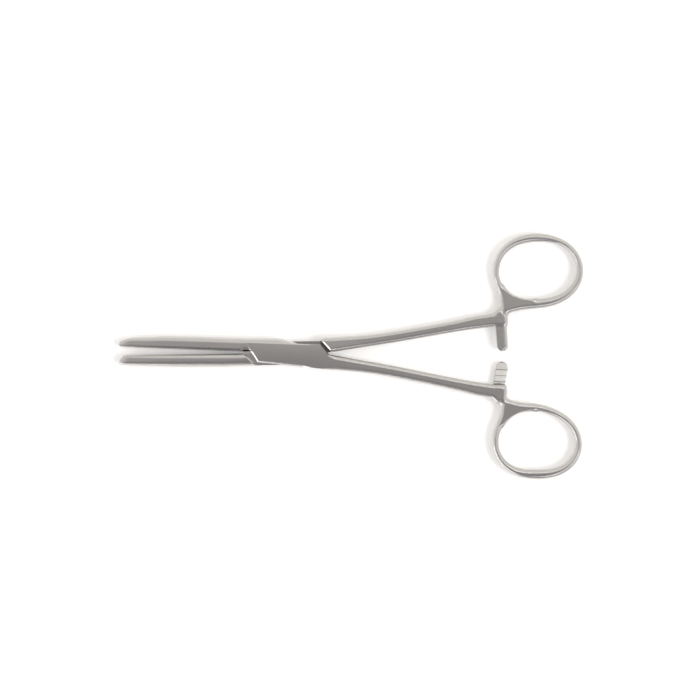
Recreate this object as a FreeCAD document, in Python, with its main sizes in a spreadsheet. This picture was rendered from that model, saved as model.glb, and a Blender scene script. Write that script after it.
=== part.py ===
"""Straight artery forceps with a box lock, finger rings and a ratchet, lying on one side.

Three pieces: the box half, whose cheeks stand on both sides of a slot; the tongue half, whose
thin tongue passes through that slot; and the rivet that holds them.  Both halves are the same
forging up to the lock.  Each is modelled closed, in its own frame: the rivet axis is Z, the jaw
points along -X with its biting face on the X axis, the jaw's body is on the -Y side and the
shank and ring are on the +Y side.  The box half is then turned over, so it mirrors the other.
"""
import FreeCAD, Part
import math
import os
import re
import Sketcher

SIZES = (
    # The whole instrument
    ("box_thickness", 5.6),
    ("rest_opening", 3.0),
    ("opening_limit", 55.0),
    # Jaws: a flat biting face, flat sides and a rounded back, tapered to the tip
    ("jaw_length", 58.6),
    ("jaw_gap", 0.1),
    ("jaw_root_width", 4.6),
    ("jaw_middle_width", 4.32),
    ("jaw_end_width", 3.4),
    ("jaw_middle_thickness", 4.6),
    ("jaw_end_thickness", 3.0),
    ("jaw_tip_thickness", 1.5),
    ("jaw_face_edge", 0.15),
    ("back_rounding", 2.2),
    # Teeth across the biting face
    ("serration_pitch", 1.05),
    ("serration_depth", 0.35),
    ("serration_count", 39),
    ("smooth_tip", 1.2),
    # Box lock
    ("box_front", 13.3),
    ("box_back", 14.3),
    ("cheek_jaw_side", 3.2),
    ("cheek_shank_side", 3.7),
    ("shoulder_slope", 0.9),
    ("front_shoulder", 15.2),
    ("back_shoulder", 14.7),
    ("back_shoulder_corner", 3.8),
    ("block_width", 4.95),
    ("tongue_half_width", 4.4),
    ("tongue_thickness", 2.0),
    ("tongue_corner", 1.5),
    ("tongue_side_play", 0.12),
    ("tongue_face_play", 0.06),
    ("pin_diameter", 3.6),
    ("pin_play", 0.04),
    ("pin_seat_play", 0.01),
    # Shanks, round-edged bars that spread towards the rings
    ("shank_root_width", 5.1),
    ("shank_width", 4.2),
    ("shank_end_width", 5.4),
    ("shank_thickness", 3.8),
    ("shank_rounding", 1.45),
    ("shank_root_offset", 2.68),
    ("shank_end_offset", 10.75),
    ("shank_sag", 0.58),
    # Finger rings
    ("ring_centre_along", 86.2),
    ("ring_centre_out", 27.05),
    ("ring_hole_length", 26.1),
    ("ring_hole_width", 20.5),
    ("ring_band", 2.9),
    ("ring_thickness", 3.8),
    ("ring_tilt", 3.3),
    # Ratchet arms and the web that joins shank, ring and ratchet arm
    ("rack_along", 73.4),
    ("rack_width", 4.1),
    ("rack_reach_tongue_half", -0.45),
    ("rack_reach_box_half", 0.65),
    ("rack_pitch", 2.07),
    ("rack_teeth", 3),
    ("rack_first_tooth", 2.4),
    ("rack_tooth_depth", 0.6),
    ("rack_crest", 0.35),
    ("web_thickness", 3.4),
    ("web_edge", 9.0),
)

ORIGIN = FreeCAD.Vector(0, 0, 0)
Constraint = Sketcher.Constraint

doc = FreeCAD.newDocument("artery_forceps")
sheet = doc.addObject("Spreadsheet::Sheet", "Sizes")
for row, (name, value) in enumerate(SIZES, start=1):
    sheet.set("A%d" % row, str(value))
    sheet.setAlias("A%d" % row, name)
doc.recompute()


def sized(text):
    """An expression with each size's name tied to its cell in the sheet."""
    names = {name for name, _ in SIZES}
    return re.sub(r"[a-z_]+", lambda word: "Sizes." * (word.group() in names) + word.group(), text)


def new_sketch(body, role, name, height="0"):
    """An empty sketch on one of the body's origin planes, raised along its normal by height."""
    plane = next(item for item in body.Origin.OriginFeatures if item.Role == role)
    sketch = body.newObject("Sketcher::SketchObject", name)
    sketch.AttachmentSupport = [(plane, "")]
    sketch.MapMode = "FlatFace"
    sketch.setExpression("AttachmentOffset.Base.z", sized(height))
    return sketch


def bind(sketch, constraint, text):
    """Add a dimension and tie it to an expression of the sizes."""
    index = sketch.addConstraint(constraint)
    sketch.setExpression("Constraints[%d]" % index, sized(text))


def polygon(body, role, name, corners, height="0"):
    """A closed sketch of straight lines whose corners are pairs of expressions.

    It is drawn as a regular polygon first; its dimensions then move it to its corners.
    """
    sketch = new_sketch(body, role, name, height)
    count = len(corners)
    start_radius = 10.0
    points = []
    for index in range(count):
        angle = 2 * math.pi * index / count
        points.append(FreeCAD.Vector(start_radius * math.cos(angle), start_radius * math.sin(angle), 0))
    for index in range(count):
        sketch.addGeometry(Part.LineSegment(points[index], points[(index + 1) % count]), False)
    for index in range(count):
        sketch.addConstraint(Constraint("Coincident", index, 2, (index + 1) % count, 1))
    for index, (across, up) in enumerate(corners):
        bind(sketch, Constraint("DistanceX", -1, 1, index, 1, points[index].x), across)
        bind(sketch, Constraint("DistanceY", -1, 1, index, 1, points[index].y), up)
    return sketch


def bar_section(body, name, along, inner, outer, thickness, inner_edge, outer_edge):
    """A bar's cross-section at a place along X: a rectangle from inner to outer with round edges.

    inner_edge and outer_edge are the radii of the two edges at each end.  It is drawn at a
    nominal size first; its dimensions then move it to its place.
    """
    sketch = new_sketch(body, "YZ_Plane", name, along)
    low, high, half, radius = 1.0, 5.0, 2.0, 0.5
    ends = (
        (low + radius, -half), (high - radius, -half),
        (high, radius - half), (high, half - radius),
        (high - radius, half), (low + radius, half),
        (low, half - radius), (low, radius - half),
    )
    centres = (
        (high - radius, radius - half), (high - radius, half - radius),
        (low + radius, half - radius), (low + radius, radius - half),
    )
    for side in range(4):
        start = FreeCAD.Vector(*ends[2 * side], 0)
        end = FreeCAD.Vector(*ends[2 * side + 1], 0)
        sketch.addGeometry(Part.LineSegment(start, end), False)
        circle = Part.Circle(FreeCAD.Vector(*centres[side], 0), FreeCAD.Vector(0, 0, 1), radius)
        turn = (side - 1) * math.pi / 2
        sketch.addGeometry(Part.ArcOfCircle(circle, turn, turn + math.pi / 2), False)
    for index in range(8):
        sketch.addConstraint(Constraint("Tangent", index, 2, (index + 1) % 8, 1))
    bottom, outer_side, top, inner_side = 0, 2, 4, 6
    sketch.addConstraint(Constraint("Horizontal", bottom))
    sketch.addConstraint(Constraint("Horizontal", top))
    sketch.addConstraint(Constraint("Vertical", outer_side))
    sketch.addConstraint(Constraint("Vertical", inner_side))
    for arc, edge in ((1, outer_edge), (3, outer_edge), (5, inner_edge), (7, inner_edge)):
        bind(sketch, Constraint("Radius", arc, radius), edge)
    bind(sketch, Constraint("DistanceX", -1, 1, inner_side, 1, low), inner)
    bind(sketch, Constraint("DistanceX", -1, 1, outer_side, 1, high), outer)
    bind(sketch, Constraint("DistanceY", bottom, 1, top, 2, 2 * half), thickness)
    bind(sketch, Constraint("DistanceY", -1, 1, top, 1, half), "( " + thickness + " ) / 2")
    return sketch


def ellipse(sketch, across, up, long_axis, short_axis, turn):
    """An ellipse in a sketch, with its centre, its two axes' full lengths and its turn bound."""
    sketch.addGeometry(Part.Ellipse(ORIGIN, 14.0, 11.0), False)
    sketch.exposeInternalGeometry(0)
    curve, major, minor, centre = 0, 1, 2, 3
    bind(sketch, Constraint("DistanceX", -1, 1, curve, centre, 1.0), across)
    bind(sketch, Constraint("DistanceY", -1, 1, curve, centre, 1.0), up)
    bind(sketch, Constraint("Distance", major, 28.0), long_axis)
    bind(sketch, Constraint("Distance", minor, 22.0), short_axis)
    bind(sketch, Constraint("Angle", major, 0.05), turn)


def loft(body, name, sections, ruled=False):
    """A bar through its cross-sections."""
    feature = body.newObject("PartDesign::AdditiveLoft", name)
    feature.Profile = sections[0]
    feature.Sections = sections[1:]
    feature.Ruled = ruled


def pad(body, name, sketch, length, midplane=True):
    """A plate of a sketch's outline, on both sides of its plane or on its upper side only."""
    feature = body.newObject("PartDesign::Pad", name)
    feature.Profile = sketch
    feature.Midplane = midplane
    feature.setExpression("Length", sized(length))


def pocket(body, name, sketch, length):
    """Cut a sketch's outline out of the body, on both sides of its plane."""
    doc.recompute()
    volume_before = body.Shape.Volume
    feature = body.newObject("PartDesign::Pocket", name)
    feature.Profile = sketch
    feature.Midplane = True
    feature.setExpression("Length", sized(length))
    doc.recompute()
    if body.Shape.Volume >= volume_before:
        raise RuntimeError("pocket %s removes nothing" % name)
    return feature


def pattern(body, name, feature, sketch, axis, count, pitch, reverse):
    """Repeat a feature along one axis of its sketch, a pitch apart."""
    repeat = body.newObject("PartDesign::LinearPattern", name)
    repeat.Originals = [feature]
    repeat.Direction = (sketch, [axis])
    repeat.Mode = "Spacing"
    repeat.Reversed = reverse
    repeat.setExpression("Occurrences", sized(count))
    repeat.setExpression("Offset", sized(pitch))
    body.Tip = repeat


# The jaw: from the lock's middle the back stays at block_width, then a loft tapers to the tip
def add_jaw(body):
    face = "-1 * jaw_gap / 2"
    front = "-1 * box_front"
    end = "-0.925 * jaw_length"
    inside_lock = bar_section(body, "JawInsideLock", "-1 * tongue_corner", "-1 * block_width",
                              "-0.2 * block_width", "box_thickness", "back_rounding", "jaw_face_edge")
    root = bar_section(body, "JawRoot", front, "-1 * jaw_root_width", face, "box_thickness",
                       "back_rounding", "jaw_face_edge")
    quarter = bar_section(body, "JawQuarter", front + " - 0.2 * ( jaw_length - box_front )",
                          "-0.3 * jaw_middle_width - 0.7 * jaw_root_width", face,
                          "0.4 * jaw_middle_thickness + 0.6 * box_thickness",
                          "0.95 * back_rounding", "jaw_face_edge")
    middle = bar_section(body, "JawMiddle", front + " - 0.5 * ( jaw_length - box_front )",
                         "-1 * jaw_middle_width", face, "jaw_middle_thickness",
                         "0.44 * jaw_middle_thickness", "jaw_face_edge")
    late = bar_section(body, "JawLate", front + " - 0.75 * ( jaw_length - box_front )",
                       "-0.5 * jaw_middle_width - 0.5 * jaw_end_width", face,
                       "0.5 * jaw_middle_thickness + 0.5 * jaw_end_thickness",
                       "0.22 * jaw_middle_thickness + 0.22 * jaw_end_thickness", "jaw_face_edge")
    near_tip = bar_section(body, "JawNearTip", end, "-1 * jaw_end_width", face,
                           "jaw_end_thickness", "0.44 * jaw_end_thickness", "jaw_face_edge")
    round_off = bar_section(body, "JawRoundOff", "-0.98 * jaw_length", "-0.82 * jaw_end_width", face,
                            "0.5 * jaw_end_thickness + 0.5 * jaw_tip_thickness",
                            "0.22 * jaw_end_thickness + 0.22 * jaw_tip_thickness", "jaw_face_edge")
    tip = bar_section(body, "JawTip", "-1 * jaw_length", "-0.5 * jaw_end_width", face,
                      "jaw_tip_thickness", "0.44 * jaw_tip_thickness", "jaw_face_edge")
    loft(body, "JawBlock", [inside_lock, root], ruled=True)
    loft(body, "Jaw", [root, quarter, middle, late, near_tip])
    loft(body, "JawTipLoft", [near_tip, round_off, tip], ruled=True)


# The shank: its centre line spreads from the lock to the ring and sags inwards between them
def add_shank(body):
    end = "( rack_along - 0.5 * rack_width )"
    stations = (
        ("ShankRoot", 0.0, "shank_root_width", "box_thickness", "shank_rounding"),
        ("ShankNeck", 0.18, "0.1 * shank_root_width + 0.9 * shank_width",
         "0.4 * box_thickness + 0.6 * shank_thickness", "shank_rounding"),
        ("ShankForward", 0.4, "shank_width", "0.06 * box_thickness + 0.94 * shank_thickness",
         "shank_rounding"),
        ("ShankMiddle", 0.6, "shank_width", "shank_thickness", "shank_rounding"),
        ("ShankRear", 0.8, "0.85 * shank_width + 0.15 * shank_end_width", "shank_thickness",
         "shank_rounding"),
        ("ShankEnd", 1.0, "shank_end_width", "shank_thickness", "shank_rounding"),
    )
    sections = []
    for name, share, width, thickness, edge in stations:
        along = "box_back + %g * ( %s - box_back )" % (share, end)
        centre = "shank_root_offset + %g * ( shank_end_offset - shank_root_offset ) - %g * shank_sag" % (
            share, 4 * share * (1 - share))
        sections.append(bar_section(body, name, along, "%s - ( %s ) / 2" % (centre, width),
                                    "%s + ( %s ) / 2" % (centre, width), thickness, edge, edge))
    inside_lock = bar_section(body, "ShankInsideLock", "tongue_corner", "0.2 * block_width",
                              "0.5 * block_width + 0.5 * shank_root_offset + 0.25 * shank_root_width",
                              "box_thickness", "shank_rounding", "shank_rounding")
    loft(body, "ShankBlock", [inside_lock, sections[0]], ruled=True)
    loft(body, "Shank", sections)


# The ratchet arm: a finger across the gap, half as thick as the web, with saw teeth below
def add_rack(body, reach):
    left = "rack_along - 0.5 * rack_width"
    right = "rack_along + 0.5 * rack_width"
    arm = polygon(body, "XY_Plane", "RackOutline", (
        (left, "web_edge + 1.5"),
        (left, "0.4 * web_edge + 0.6 * ( %s )" % reach),
        (left + " + 0.06 * rack_width", reach + " + 1.1"),
        (left + " + 0.16 * rack_width", reach + " + 0.4"),
        (left + " + 0.36 * rack_width", reach),
        (right + " - 0.36 * rack_width", reach),
        (right + " - 0.12 * rack_width", reach + " + 0.4"),
        (right, reach + " + 1.3"),
        (right, "web_edge + 1.5"),
    ), "-1 * rack_crest")
    pad(body, "RackArm", arm, "rack_crest + 0.5 * web_thickness", midplane=False)
    below = "-1 * rack_crest - 0.3"
    root = "rack_tooth_depth - rack_crest"
    ramp = polygon(body, "YZ_Plane", "RackRampOutline", (
        (reach + " - 0.5", below),
        (reach + " + rack_first_tooth", below),
        (reach + " + rack_first_tooth", "-1 * rack_crest"),
        (reach + " - 0.5", root),
    ), "rack_along")
    pocket(body, "RackRamp", ramp, "rack_width + 1")
    notch = polygon(body, "YZ_Plane", "RackNotchOutline", (
        (reach + " + rack_first_tooth", below),
        (reach + " + rack_first_tooth + rack_pitch", below),
        (reach + " + rack_first_tooth + rack_pitch", "-1 * rack_crest"),
        (reach + " + rack_first_tooth", root),
    ), "rack_along")
    tooth = pocket(body, "RackNotch", notch, "rack_width + 1")
    pattern(body, "RackTeeth", tooth, notch, "H_Axis", "rack_teeth", "rack_pitch", False)


def on_ring(angle, outward="0"):
    """A point on the ring's centre line, or moved outwards from it."""
    across = "ring_centre_along + ( ( ring_hole_length + ring_band ) / 2 + %s ) * cos(%g)"
    up = "ring_centre_out + ( ( ring_hole_width + ring_band ) / 2 + %s ) * sin(%g)"
    return across % (outward, angle), up % (outward, angle)


# The web fills the corner between shank, ring and ratchet arm; the finger ring is an oval hoop
def add_ring(body):
    left = "rack_along - 0.5 * rack_width"
    right = "rack_along + 0.5 * rack_width"
    web = polygon(body, "XY_Plane", "WebOutline", (
        (left + " - 3", "shank_end_offset - 0.4 * shank_end_width"),
        (left + " - 1.2", "shank_end_offset - 0.48 * shank_end_width"),
        (left + " - 0.3", "web_edge - 1.2"),
        (left, "web_edge - 2"),
        (left + " + 0.05", "web_edge"),
        (right, "web_edge"),
        (right + " + 0.3", "web_edge + 2"),
        (right + " + 1.6", "web_edge + 3.3"),
        (right + " + 4.5", "web_edge + 4.1"),
        on_ring(270, "0.3 * ring_band"),
        on_ring(270),
        on_ring(250),
        on_ring(235),
        on_ring(222),
        on_ring(205),
        on_ring(205, "0.35 * ring_band"),
        (left + " + 1.0", "shank_end_offset + 0.5 * shank_end_width + 3.5"),
        (left + " + 0.6", "shank_end_offset + 0.5 * shank_end_width + 1.4"),
        (left + " - 0.8", "shank_end_offset + 0.47 * shank_end_width"),
        (left + " - 3", "shank_end_offset + 0.3 * shank_end_width"),
    ))
    pad(body, "Web", web, "web_thickness")
    path = new_sketch(body, "XY_Plane", "RingPath")
    ellipse(path, "ring_centre_along", "ring_centre_out", "ring_hole_length + ring_band",
            "ring_hole_width + ring_band", "ring_tilt")
    doc.recompute()
    section = body.newObject("Sketcher::SketchObject", "RingSection")
    section.AttachmentSupport = [(path, "Edge1")]
    section.MapMode = "NormalToEdge"
    section.MapPathParameter = 0
    section.addGeometry(Part.Ellipse(FreeCAD.Vector(0, 1.9, 0), FreeCAD.Vector(1.4, 0, 0), ORIGIN), False)
    section.exposeInternalGeometry(0)
    section.addConstraint(Constraint("Coincident", 0, 3, -1, 1))
    section.addConstraint(Constraint("Vertical", 1))
    bind(section, Constraint("Distance", 1, 3.8), "ring_thickness")
    bind(section, Constraint("Distance", 2, 2.8), "ring_band")
    ring = body.newObject("PartDesign::AdditivePipe", "Ring")
    ring.Profile = section
    ring.Spine = (path, ["Edge1"])


# Saw-cut grooves across the biting face, shifted on one half so that the two faces mesh
def add_serrations(body, shift):
    start = "-1 * jaw_length + smooth_tip + %g * serration_pitch" % shift
    groove = polygon(body, "XY_Plane", "GrooveOutline", (
        (start, "0.5"),
        (start, "-0.5 * jaw_gap"),
        (start + " + 0.5 * serration_pitch", "-0.5 * jaw_gap - serration_depth"),
        (start + " + serration_pitch", "-0.5 * jaw_gap"),
        (start + " + serration_pitch", "0.5"),
    ))
    cut = pocket(body, "Groove", groove, "2 * box_thickness")
    pattern(body, "Serrations", cut, groove, "H_Axis", "serration_count", "serration_pitch", False)


def tongue_outline(body, name, side, play):
    """The tongue's plan: a band across the rivet, with one straight and one slanted edge each way.

    side is 1 in the tongue half's own frame and -1 in the box half's, which is turned over.
    play widens it.
    """
    reach = "( box_back - 0.1 )"
    quarter = (
        ("-1 * tongue_corner", "-1 * ( tongue_half_width + %s )" % play),
        (reach, "0.15 - " + play),
        (reach + " + 2.8", "1 - " + play),
        (reach + " - 1.2", "tongue_half_width + " + play),
    )
    corners = [(across, "%d * ( %s )" % (side, up)) for across, up in quarter]
    corners += [("-1 * ( %s )" % across, "%d * ( %s )" % (-side, up)) for across, up in quarter]
    return polygon(body, "XY_Plane", name, corners)


def bore(body, name, play):
    """A hole for the rivet through the whole thickness."""
    circle = new_sketch(body, "XY_Plane", name + "Circle")
    circle.addGeometry(Part.Circle(ORIGIN, FreeCAD.Vector(0, 0, 1), 1.5), False)
    circle.addConstraint(Constraint("Coincident", 0, 3, -1, 1))
    bind(circle, Constraint("Radius", 0, 1.5), "pin_diameter / 2 + " + play)
    pocket(body, name, circle, "2 * box_thickness")


def add_arm(body, reach):
    """One forging outside its lock: jaw, shank, ratchet arm, web and finger ring."""
    add_shank(body)
    add_rack(body, reach)
    add_ring(body)
    add_jaw(body)


# The tongue half: full thickness is cleared between its two shoulders, then the tongue bridges them
def make_tongue_half():
    body = doc.addObject("PartDesign::Body", "tongue_half")
    body.AllowCompound = True
    add_arm(body, "rack_reach_tongue_half")
    clear = 8
    zone = polygon(body, "XY_Plane", "ShoulderOutline", (
        ("-1 * front_shoulder", "%d" % clear),
        ("-1 * front_shoulder", "0"),
        ("-1 * front_shoulder + %d * shoulder_slope" % clear, "%d" % -clear),
        ("back_shoulder", "%d" % -clear),
        ("back_shoulder", "0"),
        ("back_shoulder - shoulder_slope * back_shoulder_corner", "back_shoulder_corner"),
        ("back_shoulder - shoulder_slope * back_shoulder_corner", "%d" % clear),
    ))
    pocket(body, "Shoulders", zone, "2 * box_thickness")
    tongue = tongue_outline(body, "TongueOutline", 1, "0")
    pad(body, "Tongue", tongue, "tongue_thickness")
    bore(body, "RivetBore", "pin_play")
    add_serrations(body, 0.5)
    half_turn = "placement(vector(0; 0; box_thickness / 2); rotationz(rest_opening / 2))"
    body.setExpression("Placement", sized(half_turn))
    return body


# The box half: two cheeks joined by the walls that are left beside the tongue's slot
def make_box_half():
    body = doc.addObject("PartDesign::Body", "box_half")
    cheeks = polygon(body, "XY_Plane", "CheekOutline", (
        ("-1 * box_front", "0"),
        ("-1 * box_front + shoulder_slope * cheek_shank_side", "cheek_shank_side"),
        ("2 * tongue_corner", "cheek_shank_side"),
        ("4 * tongue_corner", "0.5 * cheek_shank_side + 0.9"),
        ("box_back", "0.5 * cheek_shank_side + 0.9"),
        ("box_back", "0"),
        ("box_back - shoulder_slope * cheek_jaw_side", "-1 * cheek_jaw_side"),
        ("-2 * tongue_corner", "-1 * cheek_jaw_side"),
        ("-4 * tongue_corner", "-0.5 * cheek_jaw_side - 0.9"),
        ("-1 * box_front", "-0.5 * cheek_jaw_side - 0.9"),
    ))
    pad(body, "Cheeks", cheeks, "box_thickness")
    add_arm(body, "rack_reach_box_half")
    slot_height = "tongue_thickness + 2 * tongue_face_play"
    closed = tongue_outline(body, "SlotClosed", -1, "tongue_side_play")
    pocket(body, "SlotWhenClosed", closed, slot_height)
    opened = tongue_outline(body, "SlotOpened", -1, "tongue_side_play")
    opened.setExpression("AttachmentOffset.Rotation.Angle", sized("-1 * opening_limit"))
    pocket(body, "SlotWhenOpened", opened, slot_height)
    bore(body, "RivetSeat", "pin_seat_play")
    add_serrations(body, 0.0)
    turned_over = ("placement(vector(0; 0; box_thickness / 2); "
                   "rotationz(-1 * rest_opening / 2) * rotationx(180))")
    body.setExpression("Placement", sized(turned_over))
    return body


# The rivet is peened in both cheeks and ground flush with them
def make_rivet():
    rivet = doc.addObject("Part::Cylinder", "pivot_pin")
    rivet.setExpression("Radius", sized("pin_diameter / 2"))
    rivet.setExpression("Height", sized("box_thickness"))
    return rivet


pieces = (make_box_half(), make_tongue_half(), make_rivet())
doc.recompute()

for item in doc.Objects:
    if "Invalid" in item.State or "Error" in item.State:
        raise RuntimeError("%s failed: %s" % (item.Name, item.State))
for piece in pieces:
    if piece.Shape.isNull() or not piece.Shape.isValid():
        raise RuntimeError("%s has no valid shape" % piece.Label)
    if len(piece.Shape.Solids) != 1:
        raise RuntimeError("%s has %d solids" % (piece.Label, len(piece.Shape.Solids)))

os.makedirs("parts", exist_ok=True)
for piece in pieces:
    piece.Shape.exportStep("parts/%s.step" % piece.Label)
    box = piece.Shape.BoundBox
    print("%s: %.1f x %.1f x %.1f mm, %.0f mm3" % (
        piece.Label, box.XLength, box.YLength, box.ZLength, piece.Shape.Volume))
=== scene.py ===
import itertools
import math

import bpy
import numpy as np
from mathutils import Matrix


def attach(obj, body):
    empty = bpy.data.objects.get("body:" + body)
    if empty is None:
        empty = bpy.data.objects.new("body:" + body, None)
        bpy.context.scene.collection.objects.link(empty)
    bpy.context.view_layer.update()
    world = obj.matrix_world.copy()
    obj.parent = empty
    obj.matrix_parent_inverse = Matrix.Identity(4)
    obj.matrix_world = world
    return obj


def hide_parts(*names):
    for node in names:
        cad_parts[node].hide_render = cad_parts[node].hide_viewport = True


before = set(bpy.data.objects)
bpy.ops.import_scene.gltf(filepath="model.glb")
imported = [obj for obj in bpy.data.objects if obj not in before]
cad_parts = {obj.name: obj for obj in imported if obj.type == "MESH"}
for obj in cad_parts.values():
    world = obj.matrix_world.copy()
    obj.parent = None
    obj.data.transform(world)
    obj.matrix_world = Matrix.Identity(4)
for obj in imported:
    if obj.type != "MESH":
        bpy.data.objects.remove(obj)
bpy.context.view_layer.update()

# The table top and the light.  The forceps lie flat on a white sheet in a light tent and are
# seen from straight above: wide lamps behind white cloth at the sides, and a darker roof over
# them, where the camera looks in, so that flat steel comes out grey and its edges white.
MM = 0.001
PICTURE_WIDTH = 241.15
LENS = 100.0
SENSOR = 36.0
PICTURE_CENTRE = (21.01, 1.0)
PICTURE_TURN = math.radians(0.74)
MIDDLE_HEIGHT = 2.8

camera_data = bpy.data.cameras.new("camera")
camera_data.lens = LENS
camera_data.sensor_width = SENSOR
camera = bpy.data.objects.new("camera", camera_data)
turn_cos, turn_sin = math.cos(PICTURE_TURN), math.sin(PICTURE_TURN)
camera.location = (
    (PICTURE_CENTRE[0] * turn_cos - PICTURE_CENTRE[1] * turn_sin) * MM,
    (PICTURE_CENTRE[0] * turn_sin + PICTURE_CENTRE[1] * turn_cos) * MM,
    (MIDDLE_HEIGHT + PICTURE_WIDTH * LENS / SENSOR) * MM,
)
camera.rotation_euler = (0.0, 0.0, PICTURE_TURN)
bpy.context.scene.collection.objects.link(camera)
bpy.context.scene.camera = camera
bpy.context.scene.view_settings.view_transform = "Standard"


def linear(hex_colour):
    """A colour written in sRGB hex, as linear red, green, blue and an alpha of 1."""
    parts = [int(hex_colour[i:i + 2], 16) / 255 for i in (1, 3, 5)]
    return [p / 12.92 if p <= 0.04045 else ((p + 0.055) / 1.055) ** 2.4 for p in parts] + [1.0]


def add_node(tree, kind, settings=None, **links):
    """A new node.  settings gives its properties, and its sockets' values by socket name; links
    gives the outputs that feed its sockets, by socket name with _ for a space."""
    node = tree.nodes.new(kind)
    for name, value in (settings or {}).items():
        if name in node.inputs:
            node.inputs[name].default_value = value
        else:
            setattr(node, name, value)
    for name, output in links.items():
        socket = node.inputs[int(name[1:])] if name[1:].isdigit() else node.inputs[name.replace("_", " ")]
        tree.links.new(output, socket)
    return node


def new_material(name):
    """An empty node material with its output node."""
    material = bpy.data.materials.new(name)
    material.use_nodes = True
    material.node_tree.nodes.clear()
    return material, material.node_tree, add_node(material.node_tree, "ShaderNodeOutputMaterial")


# White card: matt, and lifted to pure white where no shadow falls on it, both for the camera and
# for the steel that mirrors it
CARD_SIZE = 3000.0
CARD_WHITE = "#f2f1ef"
CARD_LIFT = 0.26
card_material, tree, output = new_material("white_card")
light_path = add_node(tree, "ShaderNodeLightPath")
seen = add_node(tree, "ShaderNodeMath", {"operation": "MAXIMUM"},
                _0=light_path.outputs["Is Camera Ray"], _1=light_path.outputs["Is Glossy Ray"])
lift = add_node(tree, "ShaderNodeMath", {"operation": "MULTIPLY"}, _0=seen.outputs[0])
lift.inputs[1].default_value = CARD_LIFT
paper = add_node(tree, "ShaderNodeBsdfDiffuse", {"Color": linear(CARD_WHITE), "Roughness": 0.5})
glow = add_node(tree, "ShaderNodeEmission", {"Color": linear("#ffffff")}, Strength=lift.outputs[0])
both = add_node(tree, "ShaderNodeAddShader", None, _0=paper.outputs[0], _1=glow.outputs[0])
tree.links.new(both.outputs[0], output.inputs["Surface"])
half_card = CARD_SIZE / 2 * MM
card_mesh = bpy.data.meshes.new("white_card")
card_mesh.from_pydata([(-half_card, -half_card, 0), (half_card, -half_card, 0),
                       (half_card, half_card, 0), (-half_card, half_card, 0)], [], [(0, 1, 2, 3)])
card = bpy.data.objects.new("white_card", card_mesh)
bpy.context.scene.collection.objects.link(card)
card_mesh.materials.append(card_material)

# The tent: white cloth all round, and a darker patch overhead and towards the bottom of the
# picture, where the camera and the photographer stand.  Its radiance depends on direction only.
DARK_TILT = math.radians(25)
DARK_AZIMUTH = math.radians(-76)
DARK_CORE = math.radians(20)
DARK_EDGE = math.radians(46)
DARK_STRENGTH = 0.275
world = bpy.data.worlds.new("tent")
bpy.context.scene.world = world
world.use_nodes = True
tree = world.node_tree
tree.nodes.clear()
sky = add_node(tree, "ShaderNodeTexCoord").outputs["Generated"]
towards_dark = add_node(tree, "ShaderNodeVectorMath", {"operation": "DOT_PRODUCT"}, _0=sky)
towards_dark.inputs[1].default_value = (math.sin(DARK_TILT) * math.cos(DARK_AZIMUTH),
                                        math.sin(DARK_TILT) * math.sin(DARK_AZIMUTH), math.cos(DARK_TILT))
dark = add_node(tree, "ShaderNodeMapRange",
                {"interpolation_type": "SMOOTHSTEP", "From Min": math.cos(DARK_EDGE),
                 "From Max": math.cos(DARK_CORE)}, Value=towards_dark.outputs["Value"])
split = add_node(tree, "ShaderNodeSeparateXYZ", None, Vector=sky)
cloth = add_node(tree, "ShaderNodeMapRange",
                 {"From Min": -0.9, "From Max": 0.1, "To Min": 0.42, "To Max": 0.9},
                 Value=split.outputs["Y"])
tone = add_node(tree, "ShaderNodeMapRange", {"From Min": -0.6, "From Max": 0.6}, Value=split.outputs["Y"])
warm = add_node(tree, "ShaderNodeMix", {"data_type": "RGBA"}, Factor=tone.outputs[0])
warm.inputs[6].default_value = linear("#fbf8ff")
warm.inputs[7].default_value = linear("#fffcf7")
level = add_node(tree, "ShaderNodeMix", {"data_type": "FLOAT"}, Factor=dark.outputs[0],
                 _2=cloth.outputs[0])
level.inputs[3].default_value = DARK_STRENGTH
tent = add_node(tree, "ShaderNodeBackground", None, Color=warm.outputs[2], Strength=level.outputs[0])
behind = add_node(tree, "ShaderNodeBackground", {"Color": linear("#ffffff"), "Strength": 1.0})
light_path = add_node(tree, "ShaderNodeLightPath")
choice = add_node(tree, "ShaderNodeMixShader", None, Fac=light_path.outputs["Is Camera Ray"],
                  _1=tent.outputs[0], _2=behind.outputs[0])
output = add_node(tree, "ShaderNodeOutputWorld", None, Surface=choice.outputs[0])


def tent_lamp(name, azimuth, elevation, width, height, radiance, mirrored=True):
    """A wide lamp behind the tent's cloth, aimed at the middle of the instrument; its power is
    its radiance times its area times pi.  One that isn't mirrored only lights matt surfaces."""
    data = bpy.data.lights.new(name, "AREA")
    data.shape = "RECTANGLE"
    data.size = width
    data.size_y = height
    data.energy = radiance * width * height * math.pi
    lamp = bpy.data.objects.new(name, data)
    azimuth, elevation = math.radians(azimuth), math.radians(elevation)
    lamp.location = (PICTURE_CENTRE[0] * MM + LAMP_DISTANCE * math.cos(elevation) * math.cos(azimuth),
                     LAMP_DISTANCE * math.cos(elevation) * math.sin(azimuth),
                     LAMP_DISTANCE * math.sin(elevation))
    lamp.rotation_euler = (math.pi / 2 - elevation, 0.0, azimuth + math.pi / 2)
    lamp.visible_glossy = mirrored
    bpy.context.scene.collection.objects.link(lamp)


LAMP_DISTANCE = 0.9
tent_lamp("key_lamp_right", -12.0, 52.0, 0.34, 0.34, 9.0, mirrored=False)
tent_lamp("strip_lamp_lower_left", 226.0, 23.0, 1.1, 0.18, 3.0)
tent_lamp("strip_lamp_lower_right", -45.0, 44.0, 0.75, 0.2, 2.0)
tent_lamp("strip_lamp_upper_right", 40.0, 66.0, 0.24, 0.12, 3.0)


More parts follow.
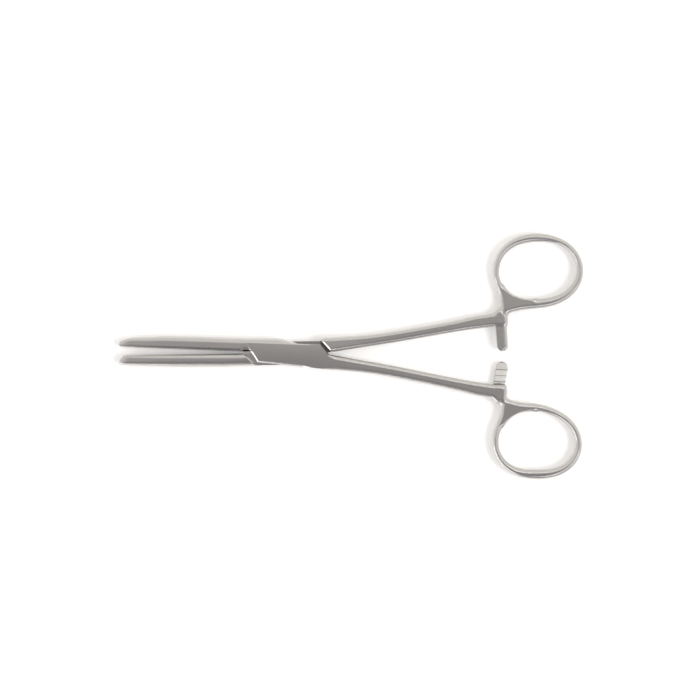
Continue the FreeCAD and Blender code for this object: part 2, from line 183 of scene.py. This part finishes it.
# Martensitic stainless steel, drop forged, ground and then given a satin finish with a fine belt
# and brushes: it scatters light softly along the grain.
steel, tree, output = new_material("satin_finished_stainless_steel")
place = add_node(tree, "ShaderNodeTexCoord")
GRAIN_WIDTH = 0.12
GRAIN_STRETCH = 14.0
along = add_node(tree, "ShaderNodeMapping",
                 {"Scale": (1000 / (GRAIN_WIDTH * GRAIN_STRETCH), 1000 / GRAIN_WIDTH, 1000 / GRAIN_WIDTH)},
                 Vector=place.outputs["Object"])
grain = add_node(tree, "ShaderNodeTexNoise", {"Scale": 1.0, "Detail": 2.0}, Vector=along.outputs[0])
blotch = add_node(tree, "ShaderNodeTexNoise", {"Scale": 1000 / 9.0, "Detail": 3.0},
                  Vector=place.outputs["Object"])
rough = add_node(tree, "ShaderNodeMapRange", {"To Min": 0.24, "To Max": 0.28}, Value=grain.outputs["Fac"])
bump = add_node(tree, "ShaderNodeBump", {"Strength": 0.015, "Distance": 0.00002},
                Height=grain.outputs["Fac"])
tint = add_node(tree, "ShaderNodeMix", {"data_type": "RGBA"}, Factor=blotch.outputs["Fac"])
tint.inputs[6].default_value = linear("#cdcbc8")
tint.inputs[7].default_value = linear("#d3d1ce")
# Painted shade: a vertex attribute, set by each half's shade function, mixes a near-black colour into the
# steel where shade falls, in the grooves between teeth, the ratchet's roots and the gaps at the lock.
painted_shade = add_node(tree, "ShaderNodeAttribute", {"attribute_name": "painted_shade"})
painted_shade_colour = add_node(tree, "ShaderNodeMix", {"data_type": "RGBA"}, Factor=painted_shade.outputs["Fac"],
                  _6=tint.outputs[2])
painted_shade_colour.inputs[7].default_value = linear("#3a3836")
metal = add_node(tree, "ShaderNodeBsdfPrincipled", {"Metallic": 1.0},
                 Base_Color=painted_shade_colour.outputs[2], Roughness=rough.outputs[0], Normal=bump.outputs[0])
tree.links.new(metal.outputs[0], output.inputs["Surface"])


# The jaws.  Each is one end of a forged half: a flat side above and below, a round back, and a
# flat biting face with teeth cut across it; it tapers to a blunt tip in width and thickness.
BOX_THICKNESS = 5.6
JAW_TIP = -59.04
JAW_ROOT = 8.0
BOX_JAW_BACK = ((-60.0, 0.7), (-58.6, 1.6), (-58.1, 1.95), (-57.2, 2.37), (-56.2, 2.78), (-54.8, 3.12),
                (-51.3, 3.42), (-47.9, 3.72), (-44.4, 4.02), (-37.0, 4.3), (-30.9, 4.45), (-20.0, 4.53),
                (-13.3, 4.65), (-7.0, 4.88), (-3.3, 4.8), (0.2, 4.15), (3.5, 3.4), (9.0, 2.1))
TONGUE_JAW_BACK = ((-60.0, 2.0), (-58.4, 3.0), (-57.2, 3.35), (-54.8, 3.58), (-51.3, 3.76), (-47.9, 3.92),
                   (-41.2, 4.18), (-30.9, 4.4), (-20.0, 4.45), (-13.3, 4.32), (0.0, 4.2))
JAW_THICKNESS = ((-58.6, 1.6), (-57.4, 2.3), (-54.2, 3.05), (-47.3, 3.85), (-36.0, 4.6), (-22.4, 5.25),
                 (-16.5, 5.6), (9.0, 5.7))
TOOTH_PITCH = 1.05
TOOTH_DEPTH = 0.85
FACE_CROWN = 2.4
# Each jaw's biting face: its crest line, crown cut and end cut, as jaw describes them
BOX_FACE = (0.52, 0.56, 0.65)
TONGUE_FACE = (0.3, 0.27, 0.0)
FIRST_TOOTH = -57.4
TOOTH_COUNT = 39
LAST_TOOTH = FIRST_TOOTH + TOOTH_COUNT * TOOTH_PITCH


def curve_through(points):
    """A natural cubic spline through points: between two of them the height is the straight line
    less a cubic bulge set by the second derivatives, which are solved for at all points at once."""
    knots, heights = (np.array(column, float) for column in zip(*points))
    step = np.diff(knots)
    slope = np.diff(heights) / step
    count = len(knots)
    matrix = np.eye(count)
    inner = np.arange(1, count - 1)
    matrix[inner, inner - 1] = step[:-1]
    matrix[inner, inner] = 2 * (step[:-1] + step[1:])
    matrix[inner, inner + 1] = step[1:]
    right = np.zeros(count)
    right[1:-1] = 6 * np.diff(slope)
    bend = np.linalg.solve(matrix, right)

    def height(x):
        x = np.clip(x, knots[0], knots[-1])
        k = np.clip(np.searchsorted(knots, x, side="right") - 1, 0, count - 2)
        a, b = knots[k + 1] - x, x - knots[k]
        return ((bend[k] * a ** 3 + bend[k + 1] * b ** 3) / (6 * step[k])
                + (heights[k] / step[k] - bend[k] * step[k] / 6) * a
                + (heights[k + 1] / step[k] - bend[k + 1] * step[k] / 6) * b)
    return height


def along_normal(gap, curve, x):
    """A gap measured along Y to a curve, turned into the distance across it: times the cosine of
    the curve's slope."""
    slope = (curve(x + 0.05) - curve(x - 0.05)) / 0.1
    return gap / np.sqrt(1 + slope ** 2)


def blend_out(a, b, reach):
    """The larger of two distances, with the crease between them rounded over reach."""
    near = np.maximum(reach - np.abs(a - b), 0)
    return np.maximum(a, b) + near ** 2 / (4 * reach)


def blend_in(a, b, reach):
    """The smaller of two distances, with the crease between them filled over reach."""
    return -blend_out(-a, -b, reach)


def bar(inside, height, thickness, rounding):
    """Distance to a flat bar whose long edges are round: inside is how far a point lies within
    its outline, height its height over the middle; a rounded rectangle in that plane."""
    across = rounding - inside
    up = np.abs(height) - thickness / 2 + rounding
    return (np.hypot(np.maximum(across, 0), np.maximum(up, 0))
            + np.minimum(np.maximum(across, up), 0) - rounding)


box_jaw_back = curve_through(BOX_JAW_BACK)
tongue_jaw_back = curve_through(TONGUE_JAW_BACK)
jaw_thickness = curve_through(JAW_THICKNESS)


def teeth(x, shift):
    """How deep the biting face lies along a jaw, 0 at a tooth's crest and 1 at a root: a triangle
    wave of X with rounded turns from the first tooth to the last, and half deep beyond them."""
    turns = (x - FIRST_TOOTH) / TOOTH_PITCH - shift
    wave = np.arccos(0.985 * np.cos(2 * np.pi * turns)) / np.pi
    return np.where((turns > 0) & (turns < TOOTH_COUNT), wave, 0.5)


def tooth_root_shade(x, y, shift):
    """Painted shade for the grooves between the teeth, where shade falls: how far the colour is darkened,
    0 at the crests and 1 at the roots, fading out over the round edge behind them and towards the jaw's tip."""
    return (np.clip(3 * teeth(x, shift) - 1.2, 0, 1) * np.clip(1.8 + y / 0.5, 0, 1)
            * np.clip(0.7 + (x + 45) / 60, 0.55, 1) * (x < LAST_TOOTH))


def jaw(x, y, z, back, shift, nose, face):
    """Distance to a jaw: a bar from its back inwards, cut off by the tip and by the biting face,
    whose round edges step in and out with the teeth.  nose is the rounding of the tip's corner.
    face gives the line of the teeth's crests, the part of the face's rounding that is ground away
    before it turns upright, and how far its top and bottom are cut back behind the last tooth.
    The grooves are deepest at mid height, and the crests stand out most there."""
    thickness = np.minimum(jaw_thickness(x), BOX_THICKNESS)
    inside = along_normal(y + back(x), back, x)
    inside = np.minimum(blend_in(inside, x - JAW_TIP, 1.0), JAW_ROOT - x)
    body = bar(inside, z, thickness, np.minimum(2.1, 0.44 * thickness))
    crest_line, crown_cut, end_cut = face
    height = np.abs(z)
    crest_line = crest_line - end_cut * np.clip((x - LAST_TOOTH) / 0.9, 0, 1) * np.clip(2 * height - 2, 0, 1)
    depth = TOOTH_DEPTH * (1 - 0.55 * np.clip((height - 0.8) / 0.8, 0, 1))
    bite = blend_in(crest_line - y, x - JAW_TIP, nose) - depth * teeth(x, shift) - (TOOTH_DEPTH - depth) / 2
    crown = np.minimum(FACE_CROWN, 0.45 * thickness)
    land = bar(bite + crown_cut * crown, z, thickness, crown)
    return blend_out(body, blend_out(land, -bite, 0.1) * 0.8, 0.3)


# The shanks and finger rings.  The other end of each half: a bar with round edges that spreads
# outwards, and an oval ring; both are one forging, dressed smooth where they meet.
SHANK_OUTER = ((0.0, 4.6), (2.6, 4.75), (6.1, 4.93), (10.9, 5.11), (14.3, 5.24), (18.5, 5.44),
               (24.6, 5.76), (31.5, 6.44), (38.5, 7.43), (45.4, 8.51), (52.3, 9.68), (59.3, 10.99),
               (66.2, 12.35), (69.6, 12.8), (72.3, 13.5), (76.0, 14.9))
SHANK_INNER = ((0.0, 1.2), (14.4, 0.12), (17.6, 0.47), (24.5, 1.42), (31.4, 2.34), (38.3, 3.33),
               (45.2, 4.42), (52.2, 5.55), (59.1, 6.6), (66.0, 7.5), (75.0, 8.3))
SHANK_THICKNESS = ((0.0, 5.6), (14.3, 5.6), (24.6, 4.5), (37.0, 3.95), (48.5, 3.8), (80.0, 3.8))
SHANK_END = 75.4
SHANK_ROUNDING = 1.45
RING_ROUNDING = 1.55
BOX_EDGE_ROUNDING = 0.35
OUTER_GROWTH = 8
INNER_START = 13.0
INNER_GROWTH = 3
RING_START = 66
RING_GROWTH = 8
shank_outer = curve_through(SHANK_OUTER)
shank_inner = curve_through(SHANK_INNER)
shank_thickness = curve_through(SHANK_THICKNESS)

RING_CENTRE = (86.29, 27.14)
TONGUE_RING = ((14.31, -0.27, 0.0, 1.34, -0.01, 0.11, 0.0), (11.46, -0.34, 0.13, 1.74, 0.22, 0.01, -0.01))
BOX_RING = ((14.33, 0.01, 0.15, 1.28, 0.29, 0.2, 0.14), (11.5, -0.1, -0.14, 1.58, 0.16, 0.24, 0.24))


def within_shank(x, y):
    """How far a point lies within the shank's outline: the nearer of its two long edges."""
    outer = along_normal(shank_outer(x) - y, shank_outer, x)
    inner = along_normal(y - shank_inner(x), shank_inner, x)
    return np.minimum(np.minimum(outer, inner), np.minimum(x, SHANK_END - x))


def oval(coefficients, turn):
    """A ring edge's radius at an angle, and its change per radian: a mean radius and the first
    three cosine and sine waves round the ring."""
    mean, *waves = coefficients
    radius, change = mean, 0.0
    for n in (1, 2, 3):
        c, s = waves[2 * n - 2:2 * n]
        radius = radius + c * np.cos(n * turn) + s * np.sin(n * turn)
        change = change + n * (s * np.cos(n * turn) - c * np.sin(n * turn))
    return radius, change


def within_ring(x, y, edges):
    """How far a point lies within the ring's outer edge, and how far outside its hole: the radial
    distance to either edge times the cosine of that edge's slant."""
    dx, dy = x - RING_CENTRE[0], y - RING_CENTRE[1]
    reach, turn = np.hypot(dx, dy), np.arctan2(dy, dx)
    (outer, outer_change), (inner, inner_change) = oval(edges[0], turn), oval(edges[1], turn)
    return ((outer - reach) / np.hypot(1, outer_change / outer),
            (reach - inner) / np.hypot(1, inner_change / inner))


def within_bar(x, y, start, end, half_start, half_end):
    """How far a point lies within a straight bar with round ends, from start to end: its half
    width there less the distance to its middle line."""
    run = np.array(end, float) - start
    share = np.clip(((x - start[0]) * run[0] + (y - start[1]) * run[1]) / (run @ run), 0, 1)
    reach = np.hypot(x - start[0] - share * run[0], y - start[1] - share * run[1])
    return half_start + (half_end - half_start) * share - reach


def within_polygon(x, y, corners):
    """How far a point lies within a convex polygon, given counter-clockwise: the least of its
    distances to the edges' lines."""
    least = None
    for (x0, y0), (x1, y1) in zip(corners, corners[1:] + corners[:1]):
        length = math.hypot(x1 - x0, y1 - y0)
        gap = ((x1 - x0) * (y - y0) - (y1 - y0) * (x - x0)) / length
        least = gap if least is None else np.minimum(least, gap)
    return least


# The ratchet.  Each half has a finger across the gap, half as thick as the shank, with saw teeth
# on the side that meets the other finger; a web in the corner below the ring carries it.
RACK_PITCH = 2.07
RACK_FIRST = 2.4
RACK_TOOTH = 0.33
RACK_CREST = 0.03
# Each half's finger: where its root stands along X, how far it reaches, and where its teeth start
TONGUE_FINGER = (72.9, -0.45, 1.95)
BOX_FINGER = (72.45, 0.05, 3.05)
FINGER_ROOT = 11.0
FINGER_TIP = 73.55
FINGER_TOP = 1.7
# Each half's web: its corners in plan, and how much sharper its edge is at the ring's hole
TONGUE_HUB = [(73.1, 12.4), (76.5, 12.8), (82.0, 14.0), (86.0, 15.2), (84.0, 22.0), (72.2, 22.3)]
BOX_HUB = [(73.7, 12.6), (76.7, 13.0), (82.0, 14.2), (86.0, 15.4), (84.0, 22.0), (73.0, 22.3)]
HOLE_EDGE = 3.0
HOLE_EDGE_REACH = 4.0


def rack(x, y, z, root, reach, first):
    """Distance to a ratchet finger: a bar whose under side is cut by ramps, each rising from a
    crest to a tooth's depth and dropping back over one pitch."""
    inside = within_bar(x, y, (root, FINGER_ROOT), (FINGER_TIP, reach + 2.0), 2.1, 2.05)
    top = z - FINGER_TOP
    turns = (y - first) / RACK_PITCH
    saw = np.where(turns < 0, np.clip(-turns * RACK_PITCH / RACK_FIRST, 0, 1),
                   np.where(turns < 3, 1 - np.mod(turns, 1.0), 0))
    under = (RACK_CREST + RACK_TOOTH * saw) - z
    rounding = 0.4 + 1.2 * np.clip(x - 72.9, 0, 1)
    return blend_out(blend_out(-inside, top, rounding), under * 0.95, 0.15)


def notch_root_shade(x, y, z, first):
    """Painted shade in the roots of the ratchet's saw teeth: 1 on them, 0 a sixth of a pitch away."""
    turns = (y - first) / RACK_PITCH
    return (np.clip(1 - 6 * np.abs(turns - np.round(turns)), 0, 1)
            * (np.abs(turns - 1) < 1.3) * (z < 0.3) * (x > 70) * (x < 77))


def arm(x, y, z, ring_edges, hub, finger, outer_start):
    """Distance to one half behind the lock: shank, ring and web joined in plan with filled
    corners, then given their thickness and round edges, which grow from sharp ones at the lock
    and are sharper again where the web meets the hole; the ratchet finger is added to them."""
    within_edge, clear_of_hole = within_ring(x, y, ring_edges)
    stub = within_bar(x, y, (72.9, 12.4), (73.1, 10.4), 2.1, 2.1)
    ring_plan = np.minimum(within_edge, clear_of_hole)
    web = within_polygon(x, y, hub)
    plan = blend_out(within_shank(x, y), ring_plan, 1.6)
    plan = blend_out(plan, stub, 1.4)
    sharper = 1 + HOLE_EDGE * np.clip(web / HOLE_EDGE_REACH, 0, 1)
    web_plan = np.minimum(web, sharper * clear_of_hole)
    plan = blend_out(plan, web_plan, 1.6)
    outer_side = np.clip(y - (shank_outer(x) + shank_inner(x)) / 2 + 0.5, 0, 1)
    growth = (outer_side * np.clip((x - outer_start) / OUTER_GROWTH, 0, 1)
              + (1 - outer_side) * np.clip((x - INNER_START) / INNER_GROWTH, 0, 1))
    full = SHANK_ROUNDING + (RING_ROUNDING - SHANK_ROUNDING) * np.clip((x - RING_START) / RING_GROWTH, 0, 1)
    rounding = BOX_EDGE_ROUNDING + (full - BOX_EDGE_ROUNDING) * growth
    body = bar(plan, z, np.minimum(shank_thickness(x), BOX_THICKNESS), rounding)
    return blend_in(body, rack(x, y, z, *finger), 0.5)


# Spacing of the grid that the halves' surfaces are found on
GRID = 0.224


def surface_net(distance, axes):
    """The surface where distance is 0, as vertices and quads: one vertex in each grid cell that
    it crosses, at the mean of its edge crossings, one quad round each crossed grid edge."""
    field = distance(axes[0][:, None, None], axes[1][None, :, None], axes[2][None, None, :])
    inside = field < 0
    cells = tuple(n - 1 for n in field.shape)
    corners = list(itertools.product((0, 1), repeat=3))
    count = sum(inside[tuple(slice(o, o + n) for o, n in zip(c, cells))].astype(np.int8) for c in corners)
    where = np.nonzero((count > 0) & (count < 8))
    number = np.full(cells, -1, np.int32)
    number[where] = np.arange(len(where[0]))
    total = np.zeros((len(where[0]), 3))
    hits = np.zeros(len(where[0]))
    for corner in corners:
        for axis in range(3):
            if corner[axis]:
                continue
            start = [w + c for w, c in zip(where, corner)]
            end = [s + (axis == n) for n, s in enumerate(start)]
            value_start, value_end = field[tuple(start)], field[tuple(end)]
            cut = (value_start < 0) != (value_end < 0)
            share = np.where(cut, value_start / np.where(cut, value_start - value_end, 1), 0)
            for n in range(3):
                place_start, place_end = axes[n][start[n]], axes[n][end[n]]
                total[:, n] += np.where(cut, place_start + share * (place_end - place_start), 0)
            hits += cut
    quads = []
    for axis in range(3):
        turned = np.moveaxis(inside, (axis, (axis + 1) % 3, (axis + 2) % 3), (0, 1, 2))
        numbers = np.moveaxis(number, (axis, (axis + 1) % 3, (axis + 2) % 3), (0, 1, 2))
        i, j, k = np.nonzero(turned[:-1, 1:-1, 1:-1] != turned[1:, 1:-1, 1:-1])
        leaves = turned[i, j + 1, k + 1]
        quad = np.stack([numbers[i, j, k], numbers[i, j + 1, k], numbers[i, j + 1, k + 1],
                         numbers[i, j, k + 1]], 1)
        quads.append(np.where(leaves[:, None], quad, quad[:, ::-1]))
    return total / hits[:, None], np.concatenate(quads)


def settle(distance, points, rounds=4, probe=0.01, most=0.12):
    """Moves points onto the surface: each round steps against the gradient, found by central
    differences, by the distance over its length.  Also returns the surface's normals there."""
    for _ in range(rounds):
        x, y, z = points.T
        value = distance(x, y, z)
        gradient = np.stack([
            distance(x + probe, y, z) - distance(x - probe, y, z),
            distance(x, y + probe, z) - distance(x, y - probe, z),
            distance(x, y, z + probe) - distance(x, y, z - probe)], 1) / (2 * probe)
        size = np.maximum((gradient ** 2).sum(1), 0.05)
        points = points - gradient * np.clip(value / size, -most, most)[:, None]
    return points, gradient / np.sqrt((gradient ** 2).sum(1) + 1e-12)[:, None]


def forged_half(name, distance, painted_shade_of, turn, turned_over):
    """A mesh of one half: its surface net in the closed frame, settled, then turned over if it is
    the box half, opened by turn about the rivet and lifted to the middle height.  Its vertex
    attribute, from the shade function given, is painted shade: how far the colour is darkened in grooves,
    gaps and recesses."""
    along = np.concatenate([np.arange(-59.15, -14.5, TOOTH_PITCH / 6), np.arange(-14.45, 103.4, GRID)])
    across, up = np.arange(-5.9, 41.7, GRID), np.arange(-3.1, 3.2, GRID)
    axes = [axis.astype(np.float32) for axis in (along, across, up)]
    points, quads = surface_net(distance, axes)
    points, normals = settle(distance, points.astype(float))
    depth = painted_shade_of(*points.T)
    if turned_over:
        points, normals = points * (1, -1, -1), normals * (1, -1, -1)
    c, s = math.cos(turn), math.sin(turn)
    opening = np.array([(c, s, 0), (-s, c, 0), (0, 0, 1)])
    points, normals = points @ opening + (0, 0, MIDDLE_HEIGHT), normals @ opening
    mesh = bpy.data.meshes.new(name)
    mesh.vertices.add(len(points))
    mesh.vertices.foreach_set("co", (points * MM).ravel())
    mesh.loops.add(quads.size)
    mesh.loops.foreach_set("vertex_index", quads.ravel())
    mesh.polygons.add(len(quads))
    mesh.polygons.foreach_set("loop_start", np.arange(0, quads.size, 4))
    mesh.update(calc_edges=True)
    mesh.shade_smooth()
    mesh.normals_split_custom_set_from_vertices(normals.tolist())
    mesh.attributes.new("painted_shade", "FLOAT", "POINT").data.foreach_set("value", depth.astype(np.float32))
    mesh.materials.append(steel)
    piece = bpy.data.objects.new(name, mesh)
    bpy.context.scene.collection.objects.link(piece)
    return piece


# The tongue half.  Between two slanted shoulders the forging is milled down to a thin tongue,
# which passes through the box half's slot; the shoulders' edges are broken with a small bevel.
FRONT_SHOULDER = -15.2
BACK_SHOULDER = 14.7
SHOULDER_SLOPE = 0.9
SHOULDER_CORNER = 3.8
TONGUE_THICKNESS = 2.0
TONGUE = [(-13.0, -4.2), (-1.5, -4.1), (14.2, 0.15), (17.0, 1.0), (13.0, 4.0), (1.5, 4.0), (-14.2, -0.15),
          (-17.0, -1.0)]
LOCK_CROWN = 0.0025
LOCK_CROWN_MOST = 30.0
LOCK_CROWN_REACH = 22.0
BEVEL_TILT = math.radians(33)
FRONT_BEVEL = 0.3
BACK_BEVEL = 0.6
HALF_OPENING = math.radians(1.5)


def bevelled(beside, above, width):
    """The larger of two distances with the corner between them cut off by a plane that leans
    outwards by BEVEL_TILT and is width wide in plan."""
    plane = (beside + width) * math.sin(BEVEL_TILT) + above * math.cos(BEVEL_TILT)
    return np.maximum(np.maximum(beside, above), plane)


def crowned(x, y, z):
    """A height taken over the lock's slightly crowned faces: a little more away from the middle
    line, and less of that away from the rivet."""
    return z * (1 + LOCK_CROWN * np.minimum(y * y, LOCK_CROWN_MOST) * np.exp(-(x / LOCK_CROWN_REACH) ** 2))


def tongue_half(x, y, z):
    """Distance to the tongue half: jaw and arm cut away between the shoulders, and the tongue."""
    z = crowned(x, y, z)
    lean = math.hypot(1, SHOULDER_SLOPE)
    front = (x - FRONT_SHOULDER + SHOULDER_SLOPE * np.minimum(y, 0)) / lean
    back = (BACK_SHOULDER - SHOULDER_SLOPE * np.clip(y, 0, SHOULDER_CORNER) - x) / lean
    ends = np.minimum(jaw(x, y, z, tongue_jaw_back, 0.5, 3.4, TONGUE_FACE),
                      arm(x, y, z, TONGUE_RING, TONGUE_HUB, TONGUE_FINGER, 3.0))
    ends = bevelled(np.minimum(front, back), ends, np.where(x < 0, FRONT_BEVEL, BACK_BEVEL))
    tongue = bar(within_polygon(x, y, TONGUE), z, TONGUE_THICKNESS, 0.15)
    return np.minimum(ends, tongue)


def tongue_painted_shade(x, y, z):
    """Painted shade on the tongue half: faint in the grooves between the jaw's teeth, full in the
    ratchet's roots, and on the back of the tongue, which only shows at the bottom of a narrow gap."""
    # Painted shade on the back of the tongue, at the bottom of the slot's narrow gap.
    slot_shade = (np.abs(z) < 1.1) * (x < 18) * np.clip(0.3 + (x - 10.5), 0.3, 0.8) * (x > 0)
    return 0.2 * tooth_root_shade(x, y, 0.5) + notch_root_shade(x, y, z, TONGUE_FINGER[2]) + slot_shade


tongue_piece = forged_half("tongue_half_forging", tongue_half, tongue_painted_shade, HALF_OPENING, False)
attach(tongue_piece, "tongue_side")
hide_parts("tongue_half")


# The box half.  Two cheeks stand on both sides of the tongue's slot, one piece with the jaw in
# front and the shank behind; their free edges are straight, slanted at the ends and bevelled.
CHEEKS = [(-15.3, -3.25), (11.05, -3.25), (13.75, -0.1), (12.3, 5.07), (-10.6, 3.65)]
CHEEK_BEVEL = 0.6
SLOT_THICKNESS = 2.12
TONGUE_PLAY = 0.12
JAW_BLOCK_END = 7.0
ARM_BLOCK_START = 11.5
OPENING_LIMIT = math.radians(55)


def box_half(x, y, z):
    """Distance to the box half: jaw, arm and cheeks, less the slot swept by the tongue."""
    slot_height, z = z, crowned(x, y, z)
    bevel = CHEEK_BEVEL * np.clip((9.0 - x) / 4, 0.0, 1) * np.where(y < 0, 0.5, 1.0)
    cheeks = bevelled(-within_polygon(x, y, CHEEKS), np.abs(z) - BOX_THICKNESS / 2, bevel)
    jaw_block = np.maximum(jaw(x, y, z, box_jaw_back, 0.0, 0.8, BOX_FACE), x - JAW_BLOCK_END)
    arm_block = np.maximum(arm(x, y, z, BOX_RING, BOX_HUB, BOX_FINGER, 9.0), ARM_BLOCK_START - x)
    whole = np.minimum(np.minimum(jaw_block, arm_block), cheeks)
    turned_tongue = [(px, -py) for px, py in TONGUE][::-1]
    closed = within_polygon(x, y, turned_tongue) + TONGUE_PLAY
    c, s = math.cos(OPENING_LIMIT), math.sin(OPENING_LIMIT)
    opened = within_polygon(c * x - s * y, s * x + c * y, turned_tongue) + TONGUE_PLAY
    slot = np.maximum(-np.maximum(closed, opened), np.abs(slot_height) - SLOT_THICKNESS / 2)
    return np.maximum(whole, -slot)


def box_painted_shade(x, y, z):
    """Painted shade on the box half: in its grooves and the ratchet's roots, in the gap behind the
    cheeks' back edge, and near black in the corner in front of the cheeks.
    """
    # gap and corner are painted shade, darkening the colour where shade falls behind and in front of the
    # cheeks.
    gap = np.clip(1.5 - np.abs(within_polygon(x, y, CHEEKS)) / 0.3, 0, 1) * (x > 10.9) * (y < 0.1)
    corner = (x > LAST_TOOTH - 1) * (x < -12) * (np.abs(z) < 2.3) * (y > -2)
    return tooth_root_shade(x, y, 0.0) + notch_root_shade(x, y, z, BOX_FINGER[2]) + 0.8 * gap + corner


box_piece = forged_half("box_half_forging", box_half, box_painted_shade, -HALF_OPENING, True)
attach(box_piece, "box_side")
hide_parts("box_half")


# The rivet.  A steel pin through the cheeks and the tongue, peened over at both ends and ground
# flush with the cheeks, so that its heads are lost in their finish.
RIVET_RADIUS = 1.8
RIVET_SUNK = 0.05
RIVET_ROUND = 64
profile_radius = np.array([0.0, 0.9, 1.6] + [RIVET_RADIUS] * 4 + [1.6, 0.9, 0.0])
profile_height = np.array([0.0, 0.0, 0.0, 0.2, 1.9, 3.6, 5.3, 5.5, 5.5, 5.5]) + RIVET_SUNK
angle = np.linspace(0, 2 * np.pi, RIVET_ROUND, endpoint=False)
ring_points = np.stack([np.outer(profile_radius[1:-1], np.cos(angle)),
                        np.outer(profile_radius[1:-1], np.sin(angle)),
                        np.outer(profile_height[1:-1], np.ones(RIVET_ROUND))], 2).reshape(-1, 3)
rivet_points = np.concatenate([ring_points, [(0, 0, profile_height[0]), (0, 0, profile_height[-1])]]) * MM
row = np.arange(RIVET_ROUND)
after = (row + 1) % RIVET_ROUND
levels = np.arange(len(profile_radius) - 3)[:, None] * RIVET_ROUND
walls = np.stack([levels + row, levels + after, levels + RIVET_ROUND + after, levels + RIVET_ROUND + row], 2)
foot, head = len(ring_points), len(ring_points) + 1
top_row = (len(profile_radius) - 3) * RIVET_ROUND
caps = [(foot, b, a) for a, b in zip(row.tolist(), after.tolist())]
caps += [(head, top_row + a, top_row + b) for a, b in zip(row.tolist(), after.tolist())]
rivet_mesh = bpy.data.meshes.new("lock_rivet")
rivet_mesh.from_pydata(rivet_points.tolist(), [], walls.reshape(-1, 4).tolist() + caps)
rivet_mesh.shade_smooth()
rivet_mesh.materials.append(steel)
rivet_piece = bpy.data.objects.new("lock_rivet", rivet_mesh)
bpy.context.scene.collection.objects.link(rivet_piece)
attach(rivet_piece, "box_side")
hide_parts("pivot_pin")
